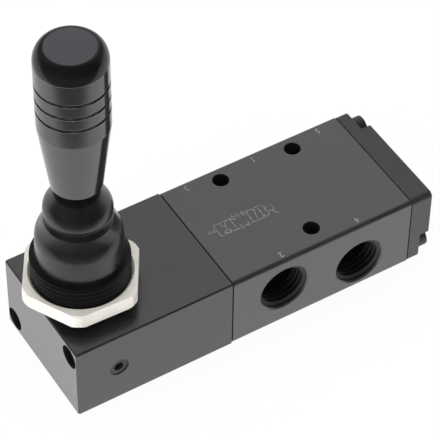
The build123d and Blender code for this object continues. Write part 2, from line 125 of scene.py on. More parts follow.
class Wiring:
    """Short way to add and join the nodes of one tree."""

    def __init__(self, tree: NodeTree) -> None:
        """Starts on the tree that gets the nodes."""
        self.tree = tree

    def add(self, kind: str, inputs: Mapping[Any, Any] = {}, **settings: Any) -> Node:
        """Adds a node.

        Args:
            kind: Blender's name for the node type.
            inputs: values or output sockets by input name or number.
            **settings: attributes of the node, such as its operation.

        Returns:
            The new node.
        """
        node = self.tree.nodes.new(kind)
        for name, value in settings.items():
            setattr(node, name, value)
        for name, value in inputs.items():
            self.feed(node.inputs[name], value)
        return node

    def feed(self, socket: NodeSocket, value: Any) -> None:
        """Links a socket to an output, or sets its value.

        Args:
            socket: the input socket.
            value: an output socket or a plain value.
        """
        if isinstance(value, NodeSocket):
            self.tree.links.new(value, socket)
        else:
            socket.default_value = value

    def math(self, operation: str, *values: Any) -> NodeSocket:
        """Adds a Math node with numbers or sockets, in order, and gives its result's socket."""
        return self.add("ShaderNodeMath", dict(enumerate(values)), operation=operation).outputs[0]

    def dot(self, first: Any, second: Any) -> NodeSocket:
        """Gives the dot product of two vectors."""
        node = self.add("ShaderNodeVectorMath", {0: first, 1: second}, operation="DOT_PRODUCT")
        return node.outputs["Value"]

    def parts(self, vector: NodeSocket) -> Any:
        """Gives the sockets X, Y and Z of a vector."""
        return self.add("ShaderNodeSeparateXYZ", {0: vector}).outputs

    def shifted(self, place: NodeSocket, origin: Sequence[float]) -> NodeSocket:
        """Gives a place as seen from another origin."""
        sockets = {"Vector": place, "Location": tuple(-value for value in origin)}
        return self.add("ShaderNodeMapping", sockets).outputs[0]

    def noise(self, place: Any, scale: Any, detail: float) -> NodeSocket:
        """Gives fractal noise."""
        sockets = {"Vector": place, "Scale": scale, "Detail": detail}
        return self.add("ShaderNodeTexNoise", sockets).outputs["Fac"]

    def ramp(self, value: Any, low: float, high: float, start: float = 0.0, end: float = 1.0) -> NodeSocket:
        """Maps a value smoothly: low and before give start, high and beyond give end."""
        sockets = {"Value": value, "From Min": low, "From Max": high, "To Min": start, "To Max": end}
        return self.add("ShaderNodeMapRange", sockets, interpolation_type="SMOOTHSTEP").outputs[0]

    def blend(self, factor: Any, first: Any, second: Any) -> NodeSocket:
        """Mixes two numbers and gives the result's socket."""
        return self.add("ShaderNodeMix", {0: factor, 2: first, 3: second}).outputs[0]

    def mix(self, factor: Any, first: Any, second: Any) -> NodeSocket:
        """Mixes two colours.

        Args:
            factor: share of the second colour.
            first: a colour or its socket.
            second: a colour or its socket.

        Returns:
            The result's socket.
        """
        node = self.add("ShaderNodeMix", data_type="RGBA")
        for index, value in ((0, factor), (6, first), (7, second)):
            self.feed(node.inputs[index], (*value, 1.0) if isinstance(value, tuple) else value)
        return node.outputs[2]


def fresh_wiring(holder: Any) -> Wiring:
    """Clears the nodes of a material or world.

    Args:
        holder: the material or world.

    Returns:
        The wiring of its tree.
    """
    holder.use_nodes = True
    holder.node_tree.nodes.clear()
    return Wiring(holder.node_tree)


def ray_kinds(wiring: Wiring) -> tuple[Any, Any]:
    """Tells the kinds of ray apart.

    Args:
        wiring: the tree's wiring.

    Returns:
        Two sockets: 1 for rays from the camera, and 1 for rays in gloss or glass.
    """
    path = wiring.add("ShaderNodeLightPath").outputs
    gloss = wiring.math("MAXIMUM", path["Is Glossy Ray"], path["Is Transmission Ray"])
    return path["Is Camera Ray"], gloss


def shader_group(name: str, inputs: Mapping[str, Any], outputs: Sequence[str]) -> tuple[Wiring, Any, Any]:
    """Starts a shader node group with named sockets.

    Args:
        name: the group's name.
        inputs: default of each number by name, or None for a place.
        outputs: names of the numbers that it gives.

    Returns:
        The group's wiring, the sockets of its input node and those of its output node.
    """
    tree = bpy.data.node_groups.new(name, "ShaderNodeTree")
    for label, default in inputs.items():
        kind = "NodeSocketVector" if default is None else "NodeSocketFloat"
        socket = tree.interface.new_socket(label, in_out="INPUT", socket_type=kind)
        if default is not None:
            socket.default_value = default
    for label in outputs:
        tree.interface.new_socket(label, in_out="OUTPUT", socket_type="NodeSocketFloat")
    wiring = Wiring(tree)
    return wiring, wiring.add("NodeGroupInput").outputs, wiring.add("NodeGroupOutput").inputs


@cache
def grain_group() -> NodeTree:
    """Gives the group for fine grain: relief, and a cloudy mask for colour and gloss.

    Returns:
        The shared node group.
    """
    inputs = {"Place": None, "Grain Scale": 4000.0, "Cloud Scale": 120.0}
    wiring, given, result = shader_group("fine grain", inputs, ["Height", "Cloud"])
    wiring.feed(result["Height"], wiring.noise(given["Place"], given["Grain Scale"], detail=3.0))
    cloud = wiring.noise(given["Place"], given["Cloud Scale"], detail=4.0)
    wiring.feed(result["Cloud"], wiring.ramp(cloud, *CLOUD_RANGE))
    return wiring.tree


@cache
def edge_highlight_group() -> NodeTree:
    """Gives the group for a painted highlight on edges: a mask that is 1 on sharp edges and 0 on flat faces.

    Returns:
        The shared node group.
    """
    inputs = {"Place": None, "Width": 0.2 * MM, "Breakup": 900.0}
    wiring, given, result = shader_group("painted edge highlight", inputs, ["Mask"])
    rounded = wiring.add("ShaderNodeBevel", {"Radius": given["Width"]}, samples=6).outputs[0]
    plain = wiring.add("ShaderNodeNewGeometry").outputs["Normal"]
    edge = wiring.ramp(wiring.dot(rounded, plain), *EDGE_HIGHLIGHT_COSINES)
    patches = wiring.noise(given["Place"], given["Breakup"], detail=3.0)
    broken = wiring.ramp(patches, *BREAKUP_RANGE, LEAST_EDGE_HIGHLIGHT, 1.0)
    wiring.feed(result["Mask"], wiring.math("MULTIPLY", edge, broken))
    return wiring.tree


@cache
def turning_group() -> NodeTree:
    """Gives the group for tool marks of a lathe: fine rings about an upright axis.

    Returns:
        The shared node group.
    """
    wiring, given, result = shader_group("turning marks", {"Place": None, "Scale": 3000.0}, ["Height"])
    parts = wiring.parts(given["Place"])
    across, deep = (wiring.math("MULTIPLY", parts[axis], parts[axis]) for axis in "XY")
    radius = wiring.math("SQRT", wiring.math("ADD", across, deep))
    line = wiring.add("ShaderNodeCombineXYZ", {"X": radius, "Z": parts["Z"]}).outputs[0]
    wiring.feed(result["Height"], wiring.noise(line, given["Scale"], detail=2.0))
    return wiring.tree


# ---- finishes ----


@dataclass(frozen=True)
class Finish:
    """Finish of one material, with its colour, gloss and fine relief.

    Attributes:
        slot: the record's slot that the finish stands for; not used.
        colour: base colour.
        shade: colour of the cloudy patches in it.
        roughness: lowest roughness.
        roughness_spread: what the patches add to the roughness.
        metallic: 1 for bare metal.
        ior: index of refraction of the clear or dyed top layer.
        turning: how the piece was turned, which sets its tool marks.
        relief: depth of the fine relief in metres.
        grain: scale of the relief, per metre.
        cloud: scale of the patches, per metre.
        edge_highlight_colour: colour of the painted highlight on edges.
        edge_highlight: how strongly the painted highlight on edges shows.
        edge: width of the painted edge highlight in metres.
        axis: point on the axis of turning marks, in metres.
    """

    slot: str
    colour: Colour
    shade: Colour
    roughness: float
    roughness_spread: float = 0.08
    metallic: float = 0.0
    ior: float = 1.5
    turning: Turning = Turning.NONE
    relief: float = 0.004 * MM
    grain: float = 4000.0
    cloud: float = 120.0
    edge_highlight_colour: Colour = grey(0.3)
    edge_highlight: float = 0.0
    edge: float = 0.2 * MM
    axis: tuple[float, float, float] = (0.0, 0.0, 0.0)

    def build(self, name: str) -> Material:
        """Builds the material.

        Args:
            name: the material's name.

        Returns:
            The material.
        """
        material = bpy.data.materials.new(name)
        wiring = fresh_wiring(material)
        place = wiring.add("ShaderNodeTexCoord").outputs["Object"]
        sockets = {"Place": place, "Grain Scale": self.grain, "Cloud Scale": self.cloud}
        grain = wiring.add("ShaderNodeGroup", sockets, node_tree=grain_group()).outputs
        colour = wiring.mix(grain["Cloud"], self.colour, self.shade)
        # Painted highlight: sharp edges are lightened towards a lighter colour, broken up by noise.
        if self.edge_highlight:
            sockets = {"Place": place, "Width": self.edge}
            edges = wiring.add("ShaderNodeGroup", sockets, node_tree=edge_highlight_group())
            mask = wiring.math("MULTIPLY", edges.outputs["Mask"], self.edge_highlight)
            colour = wiring.mix(mask, colour, self.edge_highlight_colour)
        spread = wiring.math("MULTIPLY", grain["Cloud"], self.roughness_spread)
        rough = wiring.math("ADD", spread, self.roughness)
        height = self.height(wiring, place, grain["Height"])
        bump = wiring.add("ShaderNodeBump", {"Height": height, "Distance": self.relief, "Strength": 1.0})
        colour, rough = self.dressed(wiring, place, colour, rough)
        sockets = {"Base Color": colour, "Roughness": rough, "Metallic": self.metallic, "IOR": self.ior}
        sockets["Normal"] = bump.outputs[0]
        shader = wiring.add("ShaderNodeBsdfPrincipled", sockets)
        wiring.add("ShaderNodeOutputMaterial", {"Surface": shader.outputs[0]})
        return material

    def height(self, wiring: Wiring, place: NodeSocket, grain: NodeSocket) -> NodeSocket:
        """Gives the relief: grain, and turning marks where the piece was turned.

        Args:
            wiring: the material's wiring.
            place: Object coordinates.
            grain: the fine grain's height.

        Returns:
            The height socket for the bump.
        """
        if self.turning is Turning.NONE:
            return grain
        turn = {"Vector": wiring.shifted(place, self.axis), "Rotation": (0.0, self.turning.value, 0.0)}
        turned = wiring.add("ShaderNodeMapping", turn).outputs[0]
        sockets = {"Place": turned, "Scale": self.grain}
        marks = wiring.add("ShaderNodeGroup", sockets, node_tree=turning_group())
        soft = wiring.math("MULTIPLY", grain, GRAIN_ON_TURNED)
        return wiring.math("ADD", marks.outputs["Height"], soft)

    def dressed(self, wiring: Wiring, place: Any, colour: Any, rough: Any) -> tuple[Any, Any]:
        """Gives the colour and roughness after anything special to one piece."""
        return colour, rough


@dataclass(frozen=True)
class CapFinish(Finish):
    """Gloss plastic of the handle's cap, with a satin disc on its flat top.

    Attributes:
        disc: colour of the disc.
        disc_height: height above which the disc starts, in metres.
        disc_roughness: roughness of the disc.
    """

    disc: Colour = (0.05, 0.05, 0.058)
    disc_height: float = 0.1
    disc_roughness: float = 0.4

    def dressed(self, wiring: Wiring, place: Any, colour: Any, rough: Any) -> tuple[Any, Any]:
        """Gives the colour and roughness with the disc on top.

        Args:
            wiring: the material's wiring.
            place: Object coordinates.
            colour: colour of the rim.
            rough: roughness of the rim.

        Returns:
            The colour and roughness sockets.
        """
        top = wiring.math("GREATER_THAN", wiring.parts(place)["Z"], self.disc_height)
        step = wiring.math("MULTIPLY", top, self.disc_roughness)
        return wiring.mix(top, colour, self.disc), wiring.math("MAXIMUM", rough, step)


@dataclass(frozen=True)
class PaintedLightFinish(Finish):
    """Dyed finish with painted light on the end face at the lowest X and painted shade inside holes.

    Attributes:
        middle: middle of the block that has the finish, in metres.
        half: half of each of its sides.
        skin: depth at which a hole counts as inside.
        inside: colour of the painted shade inside holes.
        inside_roughness: roughness inside holes.
        end: colour of the painted light on the end face at the lowest X.
        end_roughness: roughness of that end.
        end_skin: thickness of the layer that counts as the end face.
        painted_end_light: how strongly the painted light on the end face shows.
    """

    middle: tuple[float, float, float] = (0.0, 0.0, 0.0)
    half: tuple[float, float, float] = (1.0, 1.0, 1.0)
    skin: float = 0.45 * MM
    inside: Colour = grey(0.0015)
    inside_roughness: float = 0.75
    end: Colour = (0.15, 0.15, 0.155)
    end_roughness: float = 0.5
    end_skin: float = 0.02 * MM
    painted_end_light: float = 0.0

    def around(self, node: str) -> "PaintedLightFinish":
        """Gives the same finish, fitted to a solid's box."""
        low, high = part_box(node)
        return replace(self, middle=tuple((low + high) / 2), half=tuple((high - low) / 2))

    def dressed(self, wiring: Wiring, place: Any, colour: Any, rough: Any) -> tuple[Any, Any]:
        """Gives the colour and roughness with painted light on the end face and painted shade in the holes.

        Args:
            wiring: the material's wiring.
            place: Object coordinates.
            colour: colour of the outer faces.
            rough: roughness of the outer faces.

        Returns:
            The colour and roughness sockets.
        """
        parts = wiring.parts(wiring.shifted(place, self.middle))
        nearest: Any = -1.0
        for axis, half in zip("XYZ", self.half):
            outward = wiring.math("SUBTRACT", wiring.math("ABSOLUTE", parts[axis]), half)
            nearest = wiring.math("MAXIMUM", nearest, outward)
        # Painted shade: points deeper than the skin inside holes take the dark inside colour.
        inner = wiring.math("LESS_THAN", nearest, -self.skin)
        # Painted light: the end face at the lowest X takes the lighter end colour.
        cut = wiring.math("LESS_THAN", parts["X"], self.end_skin - self.half[0])
        cut = wiring.math("MULTIPLY", cut, self.painted_end_light)
        colour = wiring.mix(cut, colour, self.end)
        colour = wiring.mix(inner, colour, self.inside)
        rougher = wiring.math("MULTIPLY", cut, self.end_roughness)
        hollow = wiring.math("MULTIPLY", inner, self.inside_roughness)
        return colour, wiring.math("MAXIMUM", wiring.math("MAXIMUM", rough, rougher), hollow)


# ---- meshes ----


def linked(holder: Object) -> Object:
    """Links an object to the scene and gives it back."""
    bpy.context.scene.collection.objects.link(holder)
    return holder


def mesh_object(name: str, mesh: Mesh, material: Material) -> Object:
    """Links a mesh as an object at the origin.

    Args:
        name: the object's name.
        mesh: its mesh.
        material: its only material.

    Returns:
        The object.
    """
    mesh.materials.clear()
    mesh.materials.append(material)
    return linked(bpy.data.objects.new(name, mesh))


def evaluated(holder: Object) -> Mesh:
    """Turns an object into a plain mesh, and removes the object.

    Args:
        holder: the object, with its modifiers.

    Returns:
        The mesh as the modifiers leave it.
    """
    bpy.context.view_layer.update()
    graph = bpy.context.evaluated_depsgraph_get()
    mesh = bpy.data.meshes.new_from_object(holder.evaluated_get(graph))
    bpy.data.objects.remove(holder)
    return mesh


def ended(shape: bmesh.types.BMesh, name: str) -> Mesh:
    """Ends an edit by writing its shape to a new mesh.

    Args:
        shape: the shape, which is freed.
        name: the mesh's name.

    Returns:
        The mesh.
    """
    mesh = bpy.data.meshes.new(name)
    shape.to_mesh(mesh)
    shape.free()
    return mesh


def smooth(mesh: Mesh, angle: float = 35.0) -> None:
    """Shades a mesh smooth, with edges sharp where faces turn by more than an angle in degrees."""
    mesh.shade_smooth()
    mesh.set_sharp_from_angle(angle=math.radians(angle))


def face_outward(mesh: Mesh) -> None:
    """Turns the faces of a closed mesh so that its volume is positive.

    Args:
        mesh: the mesh.
    """
    shape = bmesh.new()
    shape.from_mesh(mesh)
    if shape.calc_volume(signed=True) < 0:
        bmesh.ops.reverse_faces(shape, faces=shape.faces)
    shape.to_mesh(mesh)
    shape.free()


def merged(mesh: Mesh, reach: float = 0.001 * MM) -> None:
    """Joins the points of a mesh that lie in one place, and drops edges that bound no face.

    Args:
        mesh: the mesh.
        reach: how near two points lie to be joined, in metres.
    """
    shape = bmesh.new()
    shape.from_mesh(mesh)
    bmesh.ops.remove_doubles(shape, verts=shape.verts, dist=reach)
    bare = [edge for edge in shape.edges if not edge.link_faces]
    bmesh.ops.delete(shape, geom=bare, context="EDGES")
    shape.to_mesh(mesh)
    shape.free()


def turned_shell(name: str, outline: Outline, centre: Vector, segments: int) -> Mesh:
    """Turns a closed outline about an upright axis.

    Args:
        name: the mesh's name.
        outline: radius and height of each point, in metres.
        centre: a point on the axis.
        segments: number of steps round.

    Returns:
        The closed mesh, faces outward.
    """
    rows = len(outline)
    points = []
    for step in range(segments):
        angle = math.tau * step / segments
        across, deep = math.cos(angle), math.sin(angle)
        for radius, height in outline:
            points.append((centre.x + radius * across, centre.y + radius * deep, height))
    faces = []
    for step in range(segments):
        here, there = step * rows, (step + 1) % segments * rows
        for row in range(rows):
            after = (row + 1) % rows
            faces.append((here + row, there + row, there + after, here + after))
    mesh = bpy.data.meshes.new(name)
    mesh.from_pydata(points, [], faces)
    mesh.update()
    face_outward(mesh)
    smooth(mesh)
    return mesh


def eased(corners: Sequence[tuple[float, float, float]], steps: int = 8) -> Outline:
    """Rounds the corners of a closed outline.

    Args:
        corners: radius, height and rounding radius of each corner.
        steps: number of steps on each rounding.

    Returns:
        The points of the closed outline.
    """
    points: Outline = []
    count = len(corners)
    for index, (across, rise, size) in enumerate(corners):
        here = Vector((across, rise))
        if not size:
            points.append((across, rise))
            continue
        before = (Vector(corners[index - 1][:2]) - here).normalized()
        after = (Vector(corners[(index + 1) % count][:2]) - here).normalized()
        reach = size / math.tan(before.angle(after) / 2)
        start, end = here + before * reach, here + after * reach
        for step in range(steps + 1):
            t = step / steps
            spot = start * (1 - t) ** 2 + here * (2 * t * (1 - t)) + end * t**2
            points.append((spot.x, spot.y))
    return points


class Recipe:
    """A Geometry Nodes tree with named inputs, used to make plain meshes."""

    def __init__(self, name: str, numbers: Sequence[str], vectors: Sequence[str] = ()) -> None:
        """Starts the tree.

        Args:
            name: the tree's name.
            numbers: names of the inputs that are numbers.
            vectors: names of the inputs that are vectors.
        """
        self.tree = bpy.data.node_groups.new(name, "GeometryNodeTree")
        kinds = {"Geometry": "Geometry"} | dict.fromkeys(numbers, "Float")
        kinds |= dict.fromkeys(vectors, "Vector") | {"Finish": "Material"}
        make = self.tree.interface.new_socket
        for label, kind in kinds.items():
            make(label, in_out="INPUT", socket_type=f"NodeSocket{kind}")
        make("Geometry", in_out="OUTPUT", socket_type="NodeSocketGeometry")
        self.wiring = Wiring(self.tree)
        self.given = self.wiring.add("NodeGroupInput").outputs

    def close(self, geometry: NodeSocket) -> None:
        """Ends the tree in Realize Instances and Set Material.

        Args:
            geometry: the socket with the finished geometry.
        """
        real = self.wiring.add("GeometryNodeRealizeInstances", {"Geometry": geometry}).outputs[0]
        sockets = {"Geometry": real, "Material": self.given["Finish"]}
        dressed = self.wiring.add("GeometryNodeSetMaterial", sockets).outputs[0]
        self.wiring.add("NodeGroupOutput", {0: dressed})

    def swept(self, path: NodeSocket, section: NodeSocket) -> NodeSocket:
        """Sweeps a section along a path, kept level.

        Args:
            path: the path's curve.
            section: the section's curve.

        Returns:
            The mesh's socket.
        """
        level = self.wiring.add("GeometryNodeSetCurveNormal", {"Curve": path}, mode="Z_UP").outputs[0]
        sockets = {"Curve": level, "Profile Curve": section, "Fill Caps": True}
        return self.wiring.add("GeometryNodeCurveToMesh", sockets).outputs[0]

    def make(self, name: str, base: Mesh, finish: Material, **values: Any) -> Mesh:
        """Runs the tree on a mesh.

        Args:
            name: name of the mesh that is made.
            base: the mesh that the tree starts from.
            finish: the material of the result.
            **values: the tree's inputs by name.

        Returns:
            The plain mesh.
        """
        holder = linked(bpy.data.objects.new(name, base))
        modifier = holder.modifiers.new("recipe", "NODES")
        modifier.node_group = self.tree
        values["Finish"] = finish
        for item in self.tree.interface.items_tree:
            if item.in_out == "INPUT" and item.name in values:
                modifier[item.identifier] = values[item.name]
        mesh = evaluated(holder)
        mesh.name = name
        return mesh


def thread_helix(recipe: Recipe) -> NodeSocket:
    """Adds a right-hand helix with a V section that points inward, up from the local origin.

    Args:
        recipe: the tree, with inputs Radius, Depth, Pitch and Length.

    Returns:
        The socket with the swept mesh.
    """
    wiring, given = recipe.wiring, recipe.given
    turns = wiring.math("DIVIDE", given["Length"], given["Pitch"])
    sockets = {"Resolution": THREAD_STEPS, "Rotations": turns, "Start Radius": given["Radius"]}
    sockets |= {"End Radius": given["Radius"], "Height": given["Length"], "Reverse": True}
    path = wiring.add("GeometryNodeCurveSpiral", sockets).outputs[0]
    corners = {}
    section = ((0.0, THREAD_FOOT), (0.0, -THREAD_FOOT), (1.0, -THREAD_TIP), (1.0, THREAD_TIP))
    for number, (depth, width) in enumerate(section, 1):
        side = wiring.math("MULTIPLY", given["Pitch"], width)
        inward = wiring.math("MULTIPLY", given["Depth"], -depth)
        corner = wiring.add("ShaderNodeCombineXYZ", {"X": inward, "Y": side})
        corners[f"Point {number}"] = corner.outputs[0]
    profile = wiring.add("GeometryNodeCurvePrimitiveQuadrilateral", corners, mode="POINTS").outputs[0]
    return recipe.swept(path, profile)


def ridge_recipe() -> Recipe:
    """Builds the tree that sets one thread ridge in each hole, from points with an outward direction.

    Returns:
        The recipe.
    """
    recipe = Recipe("thread ridges", THREAD_INPUTS)
    wiring, given = recipe.wiring, recipe.given
    named = wiring.add("GeometryNodeInputNamedAttribute", {"Name": "outward"}, data_type="FLOAT_VECTOR")
    turn = wiring.add("FunctionNodeAlignRotationToVector", {"Vector": named.outputs[0]}, axis="Z")
    sockets = {"Points": given["Geometry"], "Instance": thread_helix(recipe), "Rotation": turn.outputs[0]}
    recipe.close(wiring.add("GeometryNodeInstanceOnPoints", sockets).outputs[0])
    return recipe


def cut_recipe() -> Recipe:
    """Builds the tree that cuts a thread into a solid, at a place given as Start.

    Returns:
        The recipe.
    """
    recipe = Recipe("cut thread", THREAD_INPUTS, ["Start"])
    wiring, given = recipe.wiring, recipe.given
    helix = wiring.add("GeometryNodeFlipFaces", {"Mesh": thread_helix(recipe)}).outputs[0]
    place = {"Geometry": helix, "Translation": given["Start"]}
    placed = wiring.add("GeometryNodeTransform", place).outputs[0]
    cut = wiring.add("GeometryNodeMeshBoolean", operation="DIFFERENCE", solver="EXACT")
    wiring.feed(cut.inputs["Mesh 1"], given["Geometry"])
    wiring.feed(cut.inputs["Mesh 2"], placed)
    recipe.close(cut.outputs[0])
    return recipe


def hexagon_recipe() -> Recipe:
    """Builds the tree that trims a turned ring to a hexagon.

    Returns:
        The recipe.
    """
    recipe = Recipe("hexagon nut", ["Flats", "Height"], ["Turn", "Middle"])
    wiring, given = recipe.wiring, recipe.given
    corner = wiring.math("DIVIDE", given["Flats"], math.sqrt(3.0))
    sockets = {"Vertices": 6, "Radius": corner, "Depth": given["Height"]}
    prism = wiring.add("GeometryNodeMeshCylinder", sockets, fill_type="NGON").outputs[0]
    place = {"Geometry": prism, "Translation": given["Middle"], "Rotation": given["Turn"]}
    placed = wiring.add("GeometryNodeTransform", place).outputs[0]
    trim = wiring.add("GeometryNodeMeshBoolean", operation="INTERSECT", solver="EXACT")
    for mesh in (given["Geometry"], placed):
        wiring.feed(trim.inputs["Mesh 2"], mesh)
    recipe.close(trim.outputs[0])
    return recipe


def stroke_recipe() -> Recipe:
    """Builds the tree that turns drawn lines into thin flat strokes.

    Returns:
        The recipe.
    """
    recipe = Recipe("printed strokes", ["Width", "Thickness"])
    wiring, given = recipe.wiring, recipe.given
    path = wiring.add("GeometryNodeMeshToCurve", {"Mesh": given["Geometry"]}).outputs[0]
    sides = {"Width": given["Width"], "Height": given["Thickness"]}
    section = wiring.add("GeometryNodeCurvePrimitiveQuadrilateral", sides, mode="RECTANGLE").outputs[0]
    recipe.close(recipe.swept(path, section))
    return recipe


# ---- studio ----


@dataclass
class Studio:
    """Pale floor, soft light and the camera.

    Attributes:
        floor_size: side of the floor in metres.
        floor_drop: gap between floor and valve.
        floor_colour: colour of the floor.
        camera_place: the camera's place in metres.
        camera_back: direction from the object back to the camera.
        camera_up: direction of the top of the view.
        lens: focal length in millimetres.
        sensor: width of the sensor in millimetres.
        near: nearest distance that the camera sees, in metres.
        soft_light: strength of the light from all round.
        camera_share: how much of the floor's plain white the camera sees.
        overhead: how bright shiny faces see the air above the far side.
        front_air: how bright they see the air above the camera's side.
        side_turn: share of the far side at which its air starts and is full.
        air_rise: height at which the far side's air starts to dim and is dimmed.
        lit_radius: distance to the front up to which they see the floor white.
        dim_radius: distance to the front from which they see it dim.
        dim_floor: how bright they see it there.
        lamps: name, place, size, brightness and whether gloss shows it, of each soft box.
    """

    floor_size: float = 4.0
    floor_drop: float = 0.02 * MM
    floor_colour: Colour = grey(0.9)
    camera_place: tuple[float, float, float] = (-0.21559, -0.34200, 0.46657)
    camera_back: tuple[float, float, float] = (-0.3590, -0.5711, 0.7382)
    camera_up: tuple[float, float, float] = (0.3804, 0.6328, 0.6745)
    lens: float = 202.41
    sensor: float = 36.0
    near: float = 0.01
    soft_light: float = 1.1
    camera_share: float = 0.93
    overhead: float = 0.3
    front_air: float = 0.045
    side_turn: tuple[float, float] = (-0.1, 0.3)
    air_rise: tuple[float, float] = (0.02, 0.35)
    lit_radius: float = 70 * MM
    dim_radius: float = 120 * MM
    dim_floor: float = 0.2
    lamps: list[tuple[str, tuple[float, float, float], float, float, bool]] = field(default_factory=lambda: [
        ("left softbox", (-0.62, -0.16, 0.22), 0.5, 3.2, False),
        ("back softbox", (0.30, 0.46, 0.60), 0.55, 0.5, True),
    ])

    def build(self) -> None:
        """Makes the floor, the world, the lamps and the camera."""
        self.lay_floor()
        self.light_world()
        self.hang_lamps()
        self.set_camera()
        bpy.context.scene.view_settings.view_transform = "Standard"
        LOG.info("studio is ready")

    def lay_floor(self) -> None:
        """Lays the floor under the valve: white to the camera, and in gloss dimmer towards the front."""
        half = self.floor_size / 2
        mesh = bpy.data.meshes.new("floor")
        corners = [(-half, -half), (half, -half), (half, half), (-half, half)]
        mesh.from_pydata([(*corner, -self.floor_drop) for corner in corners], [], [(0, 1, 2, 3)])
        material = bpy.data.materials.new("pale floor")
        wiring = fresh_wiring(material)
        lit = wiring.add("ShaderNodeBsdfDiffuse", {"Color": (*self.floor_colour, 1.0)}).outputs[0]
        place = wiring.add("ShaderNodeTexCoord").outputs["Object"]
        front = Vector((*self.camera_back[:2], 0.0)).normalized()
        away = wiring.dot(place, tuple(front))
        fading = wiring.ramp(away, self.lit_radius, self.dim_radius, 1.0, self.dim_floor)
        camera, gloss = ray_kinds(wiring)
        strength = wiring.math("MAXIMUM", camera, fading)
        plain = wiring.add("ShaderNodeEmission", {"Color": WHITE, "Strength": strength}).outputs[0]
        share = wiring.math("MAXIMUM", wiring.math("MULTIPLY", camera, self.camera_share), gloss)
        mixed = wiring.add("ShaderNodeMixShader", {0: share, 1: lit, 2: plain}).outputs[0]
        wiring.add("ShaderNodeOutputMaterial", {"Surface": mixed})
        mesh_object("floor", mesh, material)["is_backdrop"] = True

    def light_world(self) -> None:
        """Makes the air white for the camera, and darker overhead and in front for gloss."""
        world = bpy.data.worlds.new("studio")
        bpy.context.scene.world = world
        wiring = fresh_wiring(world)
        direction = wiring.add("ShaderNodeTexCoord").outputs["Generated"]
        height = wiring.add("ShaderNodeSeparateXYZ", {0: direction}).outputs["Z"]
        behind = wiring.dot(direction, (-self.camera_back[0], -self.camera_back[1], 0.0))
        far_side = wiring.ramp(behind, *self.side_turn)
        above = wiring.ramp(height, *self.air_rise, 1.0, self.overhead)
        camera, gloss = ray_kinds(wiring)
        mirrored = wiring.blend(far_side, self.front_air, above)
        lit = wiring.blend(gloss, self.soft_light, mirrored)
        seen = wiring.blend(camera, lit, 1.0)
        sky = wiring.add("ShaderNodeBackground", {"Color": WHITE, "Strength": seen}).outputs[0]
        wiring.add("ShaderNodeOutputWorld", {"Surface": sky})

    def hang_lamps(self) -> None:
        """Hangs the soft boxes, each aimed at the valve's middle."""
        low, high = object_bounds()
        for name, place, size, brightness, mirrored in self.lamps:
            lamp = bpy.data.lights.new(name, "AREA")
            lamp.size = size
            lamp.energy = brightness * math.pi * size**2
            holder = linked(bpy.data.objects.new(name, lamp))
            holder.location = place
            holder.visible_glossy = mirrored
            aim = Vector(place) - (low + high) / 2
            holder.rotation_euler = aim.to_track_quat("Z", "Y").to_euler()

    def set_camera(self) -> None:
        """Sets the camera."""
        data = bpy.data.cameras.new("camera")
        data.sensor_width = self.sensor
        data.lens = self.lens
        data.clip_start = self.near
        camera = linked(bpy.data.objects.new("camera", data))
        back = Vector(self.camera_back).normalized()
        right = Vector(self.camera_up).cross(back).normalized()
        turn = Matrix((right, back.cross(right), back)).transposed().to_4x4()
        camera.matrix_world = Matrix.Translation(self.camera_place) @ turn
        bpy.context.scene.camera = camera


# ---- the valve ----


def dress(material: Material, *nodes: str) -> None:
    """Gives a material to solids through their objects' material slots.

    Args:
        material: the material.
        *nodes: names of the solids.
    """
    for name in nodes:
        for slot in frame["nodes"][name].material_slots:
            slot.material = material
        LOG.info("%s: %s", name, material.name)


def add_piece(name: str, mesh: Mesh, material: Material, body: Body, replaced: str = "") -> None:
    """Adds a finished rigid piece to the valve.

    Args:
        name: the piece's name.
        mesh: its mesh, in place.
        material: its material.
        body: the moving body that it rides on.
        replaced: the solid that it stands for, if any.
    """
    piece = mesh_object(name, mesh, material)
    if replaced:
        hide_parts(replaced)
    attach(piece, body.value)
    LOG.info("%s: %d faces", name, len(mesh.polygons))


def middle_of(node: str) -> Vector:
    """Gives the middle of a solid's box."""
    low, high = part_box(node)
    return (low + high) / 2


